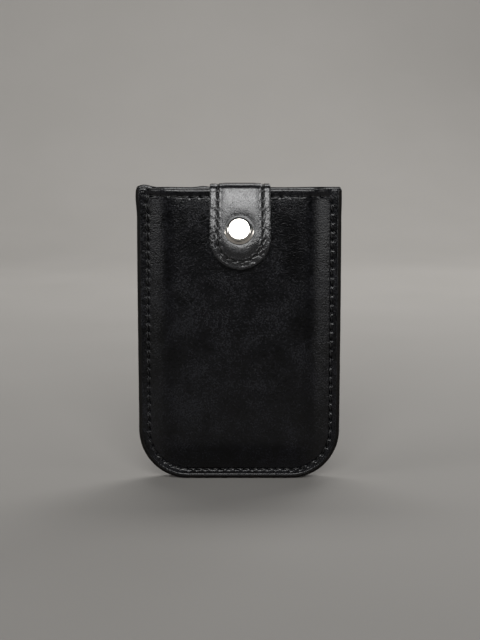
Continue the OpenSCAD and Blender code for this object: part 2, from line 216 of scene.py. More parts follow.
class Nodes:
    """Short calls for building a material's node tree."""

    def __init__(self, name):
        self.material = bpy.data.materials.new(name)
        self.material.use_nodes = True
        self.tree = self.material.node_tree
        self.shader = self.tree.nodes["Principled BSDF"]
        self.coords = self.add("ShaderNodeTexCoord", {}).outputs["Object"]

    def put(self, node, inputs):
        """Sets a node's inputs to plain values, or links them to other nodes' outputs."""
        for key, value in inputs.items():
            if isinstance(value, bpy.types.NodeSocket):
                self.tree.links.new(value, node.inputs[key])
            else:
                node.inputs[key].default_value = value

    def add(self, kind, inputs, **settings):
        node = self.tree.nodes.new(kind)
        for key, value in settings.items():
            setattr(node, key, value)
        self.put(node, inputs)
        return node

    def noise(self, scale, detail, rough, stretch=None, distortion=0.0):
        """Noise over the object. stretch squeezes it along the axes, for layers and hairlines."""
        vector = self.coords
        if stretch:
            mapping = self.add("ShaderNodeMapping", {"Scale": stretch, "Vector": vector})
            vector = mapping.outputs["Vector"]
        inputs = {"Scale": scale, "Detail": detail, "Roughness": rough,
                  "Distortion": distortion, "Vector": vector}
        return self.add("ShaderNodeTexNoise", inputs).outputs["Fac"]

    def cells(self, scale):
        inputs = {"Scale": scale, "Vector": self.coords}
        return self.add("ShaderNodeTexVoronoi", inputs).outputs["Distance"]

    def wave(self, scale, direction):
        inputs = {"Scale": scale, "Vector": self.coords}
        return self.add("ShaderNodeTexWave", inputs, bands_direction=direction).outputs["Fac"]

    def math(self, operation, a, b):
        return self.add("ShaderNodeMath", {0: a, 1: b}, operation=operation).outputs["Value"]

    def follow(self, value, stops, dark, light, span, roughness, **fixed):
        """Lets the colour run from dark to light between the stops of a value, and the
        roughness over a span of it. fixed sets other inputs of the shader."""
        ramp = self.add("ShaderNodeValToRGB", {"Fac": value})
        for element, stop, colour in zip(ramp.color_ramp.elements, stops, (dark, light)):
            element.position = stop
            element.color = (*colour, 1)
        rough = self.add("ShaderNodeMapRange", {
            "Value": value, "From Min": span[0], "From Max": span[1],
            "To Min": roughness[0], "To Max": roughness[1]})
        self.put(self.shader, {"Base Color": ramp.outputs["Color"],
                               "Roughness": rough.outputs["Result"]})
        self.put(self.shader, {key.replace("_", " "): v for key, v in fixed.items()})

    def bump(self, *layers):
        """Each layer is (height, strength, distance in metres)."""
        below = {}
        for height, strength, distance in layers:
            inputs = {"Strength": strength, "Distance": distance, "Height": height}
            node = self.add("ShaderNodeBump", inputs | below)
            below = {"Normal": node.outputs["Normal"]}
        self.put(self.shader, below)


def leather(name, dark, light, rough_low, rough_high, grain, specular, patch=95,
            grit_scale=1500, stops=(0.38, 0.62)):
    """Glossy oiled leather: cloudy patches, fine pebbled grain and a few long soft creases."""
    n = Nodes(name)
    cloud = n.noise(patch, 5.0, 0.62, distortion=0.35)
    fine = n.noise(grit_scale, 2.0, 0.6)
    mixed = n.math("ADD", n.math("MULTIPLY", cloud, 0.45), n.math("MULTIPLY", fine, 0.55))
    n.follow(mixed, stops, dark, light, (0.36, 0.62), (rough_low, rough_high),
             Specular_IOR_Level=specular)
    pebbles = n.cells(grit_scale)
    grit = n.noise(1.3 * grit_scale, 2.0, 0.6)
    crease = n.noise(40, 2.0, 0.5, distortion=1.2)
    n.bump((crease, 0.05, 0.0006), (pebbles, grain, -0.00004), (grit, grain, 0.00005))
    return n.material


def textured(name, noise, stops, dark, light, span, roughness, bump=None, relief=None, **fixed):
    """A material that follows one noise. bump gives the strength and distance of its
    relief, which comes from the same noise unless relief gives another one."""
    n = Nodes(name)
    value = n.noise(*noise)
    n.follow(value, stops, dark, light, span, roughness, **fixed)
    if bump:
        n.bump((n.noise(*relief) if relief else value, *bump))
    return n.material


def elastic():
    """Woven tape: ribs along it, crossed by the weft."""
    n = Nodes("elastic_tape")
    weave = n.math("MULTIPLY", n.wave(560, "X"), n.wave(900, "Z"))
    n.follow(weave, (0.1, 0.8), (0.006, 0.006, 0.007), (0.026, 0.026, 0.029), (0.0, 1.0),
             (0.9, 0.7))
    n.bump((weave, 0.6, 0.00015))
    return n.material


M = {
    "shell": leather("shell_leather", (0.0004, 0.0004, 0.0006), (0.0066, 0.0068, 0.0092),
                     0.12, 0.31, 0.95, 0.30, grit_scale=1600, stops=(0.43, 0.66)),
    "strap": leather("strap_leather", (0.0030, 0.0030, 0.0036), (0.0070, 0.0072, 0.0088),
                     0.19, 0.30, 0.85, 0.72, 160, 2800),
    "pocket": leather("pocket_leather", (0.010, 0.010, 0.012), (0.022, 0.022, 0.026),
                      0.38, 0.52, 0.2, 0.4, 120),
    "welt": textured("welt_leather", (1.0, 4.0, 0.6, (600, 3800, 600)), (0.35, 0.7),
                     (0.018, 0.014, 0.012), (0.040, 0.033, 0.028), (0.3, 0.7), (0.72, 0.88),
                     (0.5, 0.0002)),
    "coat": textured("edge_paint", (260, 4.0, 0.6), (0.35, 0.68), (0.0022, 0.0019, 0.0017),
                     (0.0062, 0.0052, 0.0045), (0.35, 0.65), (0.42, 0.60), (0.35, 0.00018),
                     (700, 3.0, 0.5), Specular_IOR_Level=0.10),
    "thread": textured("sewing_thread", (4200, 2.0, 0.5), (0.35, 0.7), (0.0016, 0.0015, 0.0015),
                       (0.0060, 0.0056, 0.0054), (0.3, 0.7), (0.36, 0.52), (0.4, 0.00005),
                       Specular_IOR_Level=0.40),
    "lining": textured("microfibre_lining", (1900, 4.0, 0.7), (0.3, 0.72),
                       (0.020, 0.020, 0.022), (0.052, 0.052, 0.056), (0.3, 0.7), (0.82, 0.95),
                       (0.5, 0.0002), Sheen_Weight=0.25, Sheen_Roughness=0.5),
    "nickel": textured("polished_nickel", (420, 3.0, 0.6), (0.35, 0.7), (0.66, 0.63, 0.59),
                       (0.76, 0.735, 0.70), (0.3, 0.7), (0.07, 0.13), (0.04, 0.00003),
                       (1.0, 2.0, 0.5, (300, 300, 9000)), Metallic=1.0),
    "satin": textured("satin_nickel", (700, 3.0, 0.6), (0.35, 0.7), (0.62, 0.58, 0.53),
                      (0.72, 0.69, 0.65), (0.3, 0.7), (0.20, 0.28), (0.05, 0.00003),
                      Metallic=1.0),
    "spring": textured("spring_steel", (1.0, 2.0, 0.5, (900, 6000, 900)), (0.3, 0.7),
                       (0.42, 0.40, 0.37), (0.60, 0.58, 0.54), (0.3, 0.7), (0.2, 0.34),
                       (0.1, 0.00003), Metallic=1.0),
    "ribbon": elastic(),
    "floor": textured("pale_floor", (9, 3.0, 0.5), (0.3, 0.7), (0.330, 0.316, 0.297),
                      (0.345, 0.330, 0.312), (0.3, 0.7), (0.7, 0.8), Specular_IOR_Level=0.2),
}


# -------------------- outlines


def u_outline(half_w, corner_r, side, arc_n, base):
    """Points and inward directions down the left side of a U-shaped outline, round its
    bottom and up the right side. side runs from the top down to the corners, base from
    the left corner to the right one."""
    left = np.stack([np.full(len(side), -half_w), side], 1)
    left_in = np.tile([1.0, 0.0], (len(side), 1))
    turn = np.linspace(math.pi, 1.5 * math.pi, arc_n + 1)[1:]
    ray = np.stack([np.cos(turn), np.sin(turn)], 1)
    centre = np.array([corner_r - half_w, side[-1]])
    points = np.concatenate([left, centre + corner_r * ray])
    inwards = np.concatenate([left_in, -ray])
    middle = np.stack([base[1:-1], np.full(len(base) - 2, side[-1] - corner_r)], 1)
    middle_in = np.tile([0.0, 1.0], (len(middle), 1))
    mirrored = slice(None) if len(middle) else slice(0, -1)
    other, other_in = (a[mirrored][::-1] * [-1, 1] for a in (points, inwards))
    return (np.concatenate([points, middle, other]),
            np.concatenate([inwards, middle_in, other_in]))


def inset_grid(points, inwards, insets):
    """The outline's points moved in by each of the insets, one column per inset."""
    spots = points[:, None, :] + insets[None, :, None] * inwards[:, None, :]
    return spots[..., 0], spots[..., 1]


def inset(x, z):
    """Distance in from the shell's outline, up to the corner radius."""
    ax = np.abs(x)
    side = np.minimum(HALF_W - ax, z)
    round_part = CORNER_R - np.hypot(ax - CORNER_X, z - CORNER_R)
    corner = (ax > CORNER_X) & (z < CORNER_R)
    return np.clip(np.where(corner, round_part, side), 0, CORNER_R)


# -------------------- stitches


class Row:
    """A row of stitches on a flat layout: centre, direction and half length of each."""

    def __init__(self):
        self.items = []

    def add(self, x, z, dx, dz, slant, half=1.3):
        c, s = math.cos(slant), math.sin(slant)
        norm = math.hypot(dx, dz)
        dx, dz = dx / norm, dz / norm
        self.items.append((x, z, c * dx - s * dz, s * dx + c * dz, half))

    def relief(self, x, z, inner, groove, lip, narrow, belly, slot, funnel):
        """Height change of the leather round the stitches: a groove under each thread that
        is widest in its middle, a deep slot in a soft funnel at its lower end and a low
        lip along it. inner(x, z) gives the side that swells most, as a direction."""
        out = np.zeros_like(x)
        for cx, cz, dx, dz, half in self.items:
            near = (np.abs(x - cx) < 2.6) & (np.abs(z - cz) < 2.6)
            if not near.any():
                continue
            px, pz = x[near] - cx, z[near] - cz
            along, across = px * dx + pz * dz, -px * dz + pz * dx
            window = smooth(1.0 - (np.abs(along) - half + 0.25) / 0.5)
            wide = narrow + belly * smooth(1.15 - np.abs(along) / half)
            dip = -groove * bell(across, wide) * window * (0.85 - 0.25 * along / half)
            low_end = np.hypot(np.clip(np.abs(along + half - 0.1) - 0.38, 0, None), across)
            dip -= slot * bell(low_end, 0.24) + funnel * bell(low_end, 0.60)
            dip -= 0.4 * slot * bell(np.hypot(along - half, across), 0.26)
            ix, iz = inner(cx, cz)
            towards = np.sign(-ix * dz + iz * dx)
            swell = lip * window * bell(across - towards * 0.72, 0.30)
            swell += 0.3 * lip * window * bell(across + towards * 0.70, 0.30)
            out[near] += dip + swell
        return out

    def tubes(self, place, lift, dip, radius=THREAD_R, sides=8, rings=9):
        """One short round thread per stitch, diving into its two needle holes.
        place(x, z, h) maps the flat layout and a height to space."""
        soup = Soup()
        t = np.linspace(-1, 1, rings)
        a = np.linspace(0, 2 * math.pi, sides, endpoint=False)
        for cx, cz, dx, dz, half in self.items:
            mid_x, mid_z = cx + dx * half * t, cz + dz * half * t
            height = lift - dip * t ** 4
            thick = radius * (1 - 0.35 * t ** 6)
            side = thick[:, None] * np.cos(a)[None, :]
            up = 0.72 * thick[:, None] * np.sin(a)[None, :]
            soup.grid(place(mid_x[:, None] - dz * side, mid_z[:, None] + dx * side,
                            height[:, None] + up), close_cols=True)
        return soup


def centres(start, end, pitch):
    """Middles of equal stitches that fill a run, each about one pitch long."""
    count = round((end - start) / pitch)
    return start + (np.arange(count) + 0.5) * (end - start) / count


def rim_row(top, slant, seed):
    """Stitches of one panel: both sides, the round bottom and the mouth."""
    rng = np.random.default_rng(seed)
    row = Row()

    def wobble():
        return rng.uniform(-0.05, 0.05)

    def slanted():
        return slant + rng.uniform(-0.06, 0.06)

    x_line, turn_r = HALF_W - STITCH_IN, CORNER_R - STITCH_IN
    for z in centres(CORNER_R, top - 5.6, 3.3):
        row.add(-x_line + wobble(), z + wobble(), 0, 1, slanted())
        row.add(x_line + wobble(), z + wobble(), 0, 1, slanted())
    for a in centres(0, math.pi / 2, 3.2 / turn_r):
        x, z = CORNER_X + turn_r * math.cos(a), CORNER_R - turn_r * math.sin(a)
        row.add(x, z, math.sin(a), math.cos(a), slanted())
        row.add(-x, z, -math.sin(a), math.cos(a), slanted())
    for x in centres(-CORNER_X, CORNER_X, 3.0):
        row.add(x, STITCH_IN + wobble(), 1, 0, slanted() - 0.85 * slant, 1.05)
    for x in centres(1.0 - x_line, x_line - 1.0, 3.6):
        row.add(x, top - MOUTH_ROW + wobble(), 1, 0, slanted() - 0.85 * slant, 1.25)
    row.add(-x_line + 0.6, top - 4.0, 1, 1.6, 0)
    row.add(x_line - 0.6, top - 4.0, -1, 1.6, 0)
    return row


# -------------------- the two panels


# the shoulder's slope stays even near the stitches and then runs out towards the middle
SHOULDER_U = np.linspace(STITCH_IN + 0.1, CORNER_R, 60)
SHOULDER_SLOPE = np.interp(SHOULDER_U, (STITCH_IN + 0.1, 5.0, 14.5), (0.62, 0.62, 0.0))
SHOULDER_RISE = np.concatenate([[0], np.cumsum((SHOULDER_SLOPE[1:] + SHOULDER_SLOPE[:-1]) / 2)])
PANEL_SLACK = 0.2
PANEL_RELIEF = dict(groove=0.12, lip=0.09, narrow=0.22, belly=0.06, slot=0.46, funnel=0.22)
EDGE_ROUND = 1.6
STUD_PAD_R = 9


def pillow(u):
    """Share of the panel's rise over its rim, from the stitch line inwards."""
    return np.interp(u, SHOULDER_U, SHOULDER_RISE / SHOULDER_RISE[-1])


def lining_line(u):
    """Height of the lining's inner face over the inset, as in the CAD section."""
    t = np.clip((u - 5.3) / 4.2, 0, 1)
    return RIM_IN + (LINING_IN - RIM_IN) * smooth(t)


def flare(z):
    """The shell is a little narrower low down than at its mouth."""
    return 1 - 0.009 * (1 - smooth(z / 85))


def top_corner(x, z, top, width):
    """Share of the bulk in the shell's top left corner; its right one for a mirrored x."""
    return bell(z - top + 3.0, 4.2) * bell(x + HALF_W - 1.5, width)


class Panel:
    """One padded leather face. side is -1 for the front and 1 for the back."""

    def __init__(self, side, top, crown, slant, seed):
        self.side, self.top, self.crown, self.seed = side, top, crown, seed
        self.row = rim_row(top, slant, seed)

    def rest_height(self, x, z):
        """The leather's outer height without stitches and wrinkles."""
        u = inset(x, z)
        steeper = 1.9 if self.side > 0 else 1 + 0.45 * smooth((z - self.top + 4) / 3.5)
        height = HALF_RIM + (HALF_T - HALF_RIM) * pillow(STITCH_IN + steeper * (u - STITCH_IN))
        height = height + self.crown * smooth((u - 5) / 13) * (1 - ((z - 52) / 78) ** 2)
        height -= 0.10 * bell(z - (self.top - MOUTH_ROW), 1.0) * smooth((u - 2) / 3)
        height -= 0.06 * bell(u - STITCH_IN, 0.9)
        edge = np.clip((EDGE_ROUND - u) / EDGE_ROUND, 0, 1)
        height -= EDGE_ROUND * (1 - np.sqrt(np.clip(1 - edge ** 2, 0, 1)))
        height += 0.10 * bell(u - EDGE_ROUND, 0.17)
        if self.side < 0:
            flat_share = smooth((STUD_PAD_R - np.hypot(x, z - SNAP_Z)) / 3.5)
            height += (HALF_T - 0.02 - height) * flat_share
        return height

    def height(self, x, z):
        """The leather's outer height with its stitches, unevenness and two soft creases."""
        u = inset(x, z)

        def inner(cx, cz):
            if cz > self.top - 4.5:
                return 0.0, -1.0
            if cz < CORNER_R:
                d = np.array([CORNER_X * np.sign(cx) - cx if abs(cx) > CORNER_X else 0.0,
                              CORNER_R - cz])
                return d / np.linalg.norm(d)
            return -np.sign(cx), 0.0

        height = self.rest_height(x, z)
        height += self.row.relief(x, z, inner, **PANEL_RELIEF)
        face = smooth((u - 5) / 5)
        height += 0.045 * noise2(x, z, 11, self.seed) * face
        height += 0.020 * noise2(x, z, 4.2, self.seed + 1) * smooth((u - 3) / 3)
        height += 0.020 * noise2(x, z, 1.3, self.seed + 2) * bell(u - 2.9, 0.7)
        for slope, offset, where in ((-1.1, 33.0, 31.0), (0.55, 38.0, 17.0)):
            line = (z - offset - slope * (x - where)) / math.hypot(1, slope)
            height -= 0.035 * bell(line, 0.55) * bell(x - where, 7) * face
        return np.maximum(height, np.where(u > 2.5, lining_line(u) + PANEL_SLACK, 0))

    def place(self, x, z, height):
        """Puts a point of the flat layout into space, with the bulky top corners."""
        x, z, height = np.broadcast_arrays(x, z, height)
        left, right = top_corner(x, z, self.top, 3.4), top_corner(-x, z, self.top, 3.0)
        high = smooth((z - self.top + 9) / 9)
        px = x * flare(z) - 0.55 * left + 0.15 * right
        pz = z + high * (0.45 * bell(x + HALF_W - 2.6, 2.6) + 0.1 * noise2(x, z, 9, self.seed + 5))
        if self.side > 0:
            pz = pz + high * (0.5 * bell(x + HALF_W - 2.8, 2.6) + 0.40 * bell(x + 13.5, 2.4)
                              + 0.12 * smooth((x - 22) / 14))
        ph = height + 0.25 * left + 0.10 * right
        return np.stack([px, self.side * ph, pz], -1)

    def build(self, name):
        """The outer face from rim to rim, and the hem that rolls over the mouth's edge."""
        roll_z = self.top - ROLL_H
        across = graded(0.45, (1.2, 0.25), (2.0, 0.10), (2.9, 0.22), (4.6, 0.12), (6.2, 0.28),
                        (9.5, 0.55), (CORNER_R, 1.1))
        side = graded(roll_z, (roll_z - 3.4, 0.13), (CORNER_R, 0.27))
        base = spread(-CORNER_X, CORNER_X, 0.27)
        points, inwards = u_outline(HALF_W, CORNER_R, side, 104, base)
        soup = Soup()
        forward = self.side < 0
        for x, z in (inset_grid(points, inwards, across), np.meshgrid(base, side)):
            soup.grid(self.place(x, z, self.height(x, z)), flip=forward)

        columns = chain(across - HALF_W, base, (HALF_W - across)[::-1])
        outer = self.height(columns, np.full_like(columns, roll_z))
        inner = lining_line(HALF_W - np.abs(columns)) - 0.08
        cut = ROLL_CUT[:, :1] * np.minimum(1, (outer - inner) / 1.3)[None, :]
        roll_height = np.concatenate([outer - cut, inner + cut[::-1]])
        rise = np.concatenate([ROLL_CUT[:, 1:], ROLL_CUT[::-1, 1:]])
        roll = self.place(columns[None, :], roll_z + rise, roll_height)
        hem_z = np.array([0.0, -2.0, -4.4, -6.0, -6.15])[:, None] + roll_z
        hem_in = inner[None, :] + np.array([0, 0, 0, 0, 0.12])[:, None]
        hem = self.place(columns[None, :], hem_z, hem_in)
        soup.grid(np.concatenate([roll, hem[1:]]), flip=not forward)
        return soup.mesh(name, M["shell"])

    def threads(self, name):
        def place(x, z, h):
            mid, mid_z = line_mean(x), line_mean(z)
            deepest = lining_line(inset(mid, mid_z)) + PANEL_SLACK
            return self.place(x, z, np.maximum(self.rest_height(mid, mid_z) + h, deepest))

        return self.row.tubes(place, lift=-0.13, dip=0.4).mesh(name, M["thread"])

    def lining(self, name):
        """Thin microfibre sheet inside the panel, closed round its edge."""
        thick = 0.16
        across = graded(2.2, (5.4, 0.8), (10.2, 0.48), (CORNER_R, 2.0))
        side = spread(self.top - 1.1, CORNER_R, 1.6)
        base = spread(-CORNER_X, CORNER_X, 1.6)
        points, inwards = u_outline(HALF_W, CORNER_R, side, 20, base)

        def inner_face(x, z):
            return lining_line(inset(x, z)) + 0.02 * noise2(x, z, 6, self.seed + 9)

        soup = Soup()
        for x, z in (inset_grid(points, inwards, across), np.meshgrid(base, side)):
            low = inner_face(x, z)
            soup.grid(self.place(x, z, low), flip=self.side > 0)
            soup.grid(self.place(x, z, low + thick), flip=self.side < 0)
        x, z = inset_grid(points, inwards, across[[0, 0]])
        soup.grid(self.place(x, z, inner_face(x, z) + np.array([0.0, thick])), flip=self.side < 0)
        return soup.mesh(name, M["lining"])


front = Panel(-1, FRONT_TOP, 0.34, 0.24, 11)
back = Panel(1, BACK_TOP, 0.18, -0.24, 47)
finish_piece(front.build("front_panel"), "shell", "shell_leather", "front_leather", "front_board")
finish_piece(back.build("back_panel"), "shell", "shell_leather", "back_leather", "back_board")
finish_piece(front.threads("front_panel_thread"), "shell", "thread", "front_stitching")
finish_piece(back.threads("back_panel_thread"), "shell", "thread", "back_stitching")
finish_piece(front.lining("front_panel_lining"), "shell", "lining", "front_lining")
finish_piece(back.lining("back_panel_lining"), "shell", "lining", "back_lining")


# -------------------- edge paint and spacer


def rounded_section(half, radius, width):
    """C-shaped outer line of the painted edge, as [inset, height], front to back."""
    a = np.linspace(math.pi / 2, math.pi, 9)
    bow = np.stack([radius + radius * np.cos(a), half - radius + radius * np.sin(a)], 1)
    lip = np.array([[width + 0.32, half - 0.12], [width + 0.20, half - 0.03],
                    [width + 0.05, half + 0.02], [width - 0.20, half + 0.04]])
    flat = np.linspace(half - radius, 0, 6)[1:]
    wall = np.stack([np.zeros(5), flat], 1)
    front_half = np.concatenate([lip, bow[bow[:, 0] < width - 0.3], wall])
    return np.concatenate([front_half, (front_half * [1, -1])[::-1][1:]])


def edge_place(inset_u, height, points, inwards, tops):
    """Sweeps [inset, height] sections along the shell's outline."""
    x = points[:, None, 0] + inset_u * inwards[:, None, 0]
    z = points[:, None, 1] + inset_u * inwards[:, None, 1]
    spots = front.place(x, z, height)
    spots[..., 1] = -height
    behind = back.place(x, z, -height)
    share = smooth((1.5 - height) / 3.0)
    lift_front = spots[..., 2] - z
    lift_back = behind[..., 2] - z + (BACK_TOP - FRONT_TOP) * smooth((z - tops + 6) / 6)
    spots[..., 2] = z + lift_front * (1 - share) + lift_back * share
    spots[..., 0] = spots[..., 0] * (1 - share) + behind[..., 0] * share
    left = top_corner(x, z, FRONT_TOP, 3.4)
    spots[..., 1] -= 0.25 * left * np.sign(height) * smooth(np.abs(height) / 2)
    return spots


def swept_edge(name, section, material, top, wobble, round_end, seed):
    """A section swept round the shell's edge, a little wavy and rounded at both ends."""
    side = graded(top, (top - 3, 0.3), (CORNER_R, 0.6))
    base = spread(-CORNER_X, CORNER_X, 0.6)
    points, inwards = u_outline(HALF_W, CORNER_R, side, 44, base)
    run = np.arange(len(points))[:, None] * 0.6
    inset_u = np.tile(section[:, 0], (len(points), 1))
    height = np.tile(section[:, 1], (len(points), 1))
    inset_u += 0.10 * smooth(inset_u / 1.6) * noise2(run, np.sign(height) * 40, 9, seed)
    inset_u += wobble * noise2(run, height * 3, 3.5, seed + 1)
    height += wobble * noise2(run, height * 2 + 50, 2.6, seed + 2)
    seam = bell(np.abs(height) - 3.1, 0.14) * (inset_u < 0.8)
    inset_u += 0.07 * (bell(np.abs(height) - RIM_IN, 0.16) + seam)
    centre = section[:, 0].mean()
    for k in range(3):
        keep = 1 - round_end * (1 - math.sqrt(1 - (1 - k / 3) ** 2))
        for row in (k, -1 - k):
            inset_u[row] = centre + (inset_u[row] - centre) * keep
            height[row] *= keep
    soup = Soup()
    soup.grid(edge_place(inset_u, height, points, inwards, top), close_cols=True)
    for row in (0, len(points) - 1):
        ring = edge_place(inset_u[row:row + 1], height[row:row + 1], points[row:row + 1],
                          inwards[row:row + 1], top)[0]
        hub = np.broadcast_to(ring.mean(0), ring.shape)
        soup.grid(np.stack([hub, ring]), close_cols=True, flip=row > 0)
    return soup.mesh(name, material)


outer_line = rounded_section(HALF_RIM, 1.15, 1.08)
inner_line = np.array([[1.7, -3.6], [0.9, -3.0], [0.6, -2.0], [0.6, 2.0], [0.9, 3.0], [1.7, 3.6]])
paint = swept_edge("edge_paint", np.concatenate([outer_line, inner_line]), M["coat"],
                   FRONT_TOP - 0.1, wobble=0.035, round_end=0.55, seed=3)
finish_piece(paint, "shell", "edge_coat", "edge_coat")

spacer_half = RIM_IN - 0.02
spacer_line = np.array([[0.5, spacer_half], [0.5, 0], [0.5, -spacer_half], [2.5, -spacer_half],
                        [5.2, -spacer_half], [5.45, -spacer_half + 0.3], [5.5, 0],
                        [5.45, spacer_half - 0.3], [5.2, spacer_half], [2.5, spacer_half]])
spacer = swept_edge("seam_spacer", spacer_line, M["welt"], FRONT_TOP - 0.9, wobble=0.03,
                    round_end=0.25, seed=23)
finish_piece(spacer, "shell", "welt_leather", "seam_welt")


# -------------------- the strap

STRAP_HALF = flap_high[0]
STRAP_LINING_T = 0.5
STRAP_T = STRAP_LINING_T + box_mm("strap_flap_lining")[0][1] - flap_low[1]
BRIDGE_IN_Z = bridge_high[2] - STRAP_T
ROOT_IN_Y = root_high[1] - STRAP_T
BRIDGE_MID_Y = (bridge_high[1] + bridge_low[1]) / 2
FLAP_SNAP_Y = flap_low[1] + STRAP_T - 0.3
TIP_TOP = flap_low[2] + 1.25
STRAP_STITCH_IN = 2.75
STRAP_RELIEF = dict(groove=0.36, lip=0.14, narrow=0.32, belly=0.18, slot=0.34, funnel=0.10)
STRAP_RIM_R = 0.30
STRAP_SHIFT = 0.35
PATH_STEP = 0.12
PANEL_Y = -HALF_T
FLANGE_R = CAP_R + 0.1


def spline(knots):
    """Smooth curve through the knots, as evenly spaced points and their lengths."""
    p = np.asarray(knots, float)
    p = np.concatenate([[2 * p[0] - p[1]], p, [2 * p[-1] - p[-2]]])
    out = []
    for a, b, c, d in zip(p, p[1:], p[2:], p[3:]):
        t = np.linspace(0, 1, 40, endpoint=False)[:, None]
        out.append(0.5 * (2 * b + (c - a) * t + (2 * a - 5 * b + 4 * c - d) * t ** 2
                          + (3 * b - a - 3 * c + d) * t ** 3))
    out = np.concatenate(out + [p[-2:-1]])
    length = np.concatenate([[0], np.cumsum(np.linalg.norm(np.diff(out, axis=0), axis=1))])
    even = spread(0, length[-1], PATH_STEP)
    return np.stack([np.interp(even, length, out[:, k]) for k in (0, 1)], 1), even


class Path:
    """The strap's inner face in the middle plane, as (y, z) over the length from the
    middle of the bridge, and its outward direction."""

    def __init__(self, knots, turn):
        self.points, self.length = spline(knots)
        d = np.gradient(self.points, axis=0)
        d /= np.linalg.norm(d, axis=1)[:, None]
        for k in (0, 1):
            d[:, k] = np.convolve(np.pad(d[:, k], 2, mode="edge"), np.ones(5) / 5, "valid")
        self.out = np.stack([turn * d[:, 1], -turn * d[:, 0]], 1)
        self.out /= np.linalg.norm(self.out, axis=1)[:, None]
        self.total = self.length[-1]

    def place(self, x, run, height):
        x, run, height = np.broadcast_arrays(x, run, height)
        beyond = run - np.clip(run, 0, self.total)
        end = self.points[-1] - self.points[-2]
        end /= np.linalg.norm(end)
        y, z = (np.interp(run, self.length, self.points[:, k])
                + np.interp(run, self.length, self.out[:, k]) * height + end[k] * beyond
                for k in (0, 1))
        return np.stack([x + STRAP_SHIFT, y, z], -1)

    def run_at_z(self, z):
        below = self.points[:, 0] < PANEL_Y
        return np.interp(-z, -self.points[below, 1], self.length[below])


front_path = Path([(BRIDGE_MID_Y, BRIDGE_IN_Z), (-5.0, BRIDGE_IN_Z + 0.02),
                   (-7.3, BRIDGE_IN_Z - 0.02), (PANEL_Y - 0.42, BRIDGE_IN_Z - 0.65),
                   (PANEL_Y - 0.78, BRIDGE_IN_Z - 2.2), (PANEL_Y - 1.64, BRIDGE_IN_Z - 6.2),
                   (PANEL_Y - 2.41, BRIDGE_IN_Z - 11.0), (FLAP_SNAP_Y, SNAP_Z),
                   (FLAP_SNAP_Y - 0.20, SNAP_Z - 4.0), (FLAP_SNAP_Y - 0.20, SNAP_Z - 7.2),
                   (FLAP_SNAP_Y - 0.10, TIP_TOP + 3.0), (FLAP_SNAP_Y, TIP_TOP)], 1)
rear_path = Path([(BRIDGE_MID_Y, BRIDGE_IN_Z), (0.2, BRIDGE_IN_Z + 0.02),
                  (3.2, BRIDGE_IN_Z - 0.05), (4.4, BRIDGE_IN_Z - 0.6),
                  (ROOT_IN_Y, BRIDGE_IN_Z - 1.8), (ROOT_IN_Y, BRIDGE_IN_Z - 6),
                  (ROOT_IN_Y, 90.0), (ROOT_IN_Y, 76.0), (ROOT_IN_Y, root_low[2])], -1)
SNAP_RUN = front_path.run_at_z(SNAP_Z)
TIP_CENTRE = front_path.total - STRAP_HALF


def strap_row(path_total, round_tip, seed):
    """Stitches along both edges of the strap, and round the tip of the front piece."""
    rng = np.random.default_rng(seed)
    row = Row()
    x_line = STRAP_HALF - STRAP_STITCH_IN
    end = TIP_CENTRE if round_tip else path_total - 3
    for run in centres(0, end, 3.3):
        for side in (-1, 1):
            row.add(side * (x_line + rng.uniform(-0.05, 0.05)), run, 0, 1,
                    side * 0.10 + rng.uniform(-0.07, 0.07), 1.12)
    if round_tip:
        for a in centres(0, math.pi, 2.95 / x_line):
            row.add(x_line * math.cos(a), end + x_line * math.sin(a), -math.sin(a), math.cos(a),
                    0.16 + rng.uniform(-0.05, 0.05), 1.1)
    return row


front_row = strap_row(front_path.total, True, 5)
rear_row = strap_row(rear_path.total, False, 6)


def strap_inset(x, run, round_tip):
    side = STRAP_HALF - np.abs(x)
    if not round_tip:
        return np.clip(side, 0, STRAP_HALF)
    tip = STRAP_HALF - np.hypot(x, run - TIP_CENTRE)
    return np.clip(np.where(run > TIP_CENTRE, tip, side), 0, STRAP_HALF)


def strap_rest(x, run, round_tip):
    """The strap's outer height over its inner face, without stitches and wrinkles."""
    u = strap_inset(x, run, round_tip)
    height = STRAP_T + 0.30 * smooth((u - STRAP_STITCH_IN) / 3.2)
    height -= 0.06 * bell(u - STRAP_STITCH_IN, 0.8) + 0.12 * bell(u - STRAP_STITCH_IN, 0.40)
    height -= 0.12 * smooth((0.9 - u) / 0.9)
    if round_tip:
        above = SNAP_RUN - 0.5 - run
        off = np.hypot(x, above)
        fade = 1.6 + 0.7 * above / np.clip(off, 1, None)
        height -= 0.34 * np.exp(-np.clip(off - FLANGE_R + 0.2, 0, None) / fade)
    return height


def strap_height(x, run, round_tip, row, seed):
    """The strap's outer height with its stitches, rough margin and unevenness."""
    u = strap_inset(x, run, round_tip)

    def inner(cx, crun):
        if round_tip and crun > TIP_CENTRE:
            d = np.array([-cx, TIP_CENTRE - crun])
            return d / np.linalg.norm(d)
        return -np.sign(cx), 0.0

    height = strap_rest(x, run, round_tip)
    height += row.relief(x, run, inner, **STRAP_RELIEF)
    rim = smooth((STRAP_STITCH_IN - u) / 1.0)
    margin = rim * (0.15 + 0.85 * smooth((run - 8) / 6))
    height += 0.06 * margin * noise2(x * 0.8, run, 0.62, seed)
    height += 0.04 * margin * noise2(x, run, 1.5, seed + 3)
    if round_tip:
        height -= 0.062 * rim * np.clip(run - 5.5, 0, 8.5)
    height += 0.016 * noise2(x, run, 3.4, seed + 1) + 0.005 * noise2(x, run, 1.1, seed + 2)
    height += 0.08 * bell(u - 0.50, 0.25)
    return height


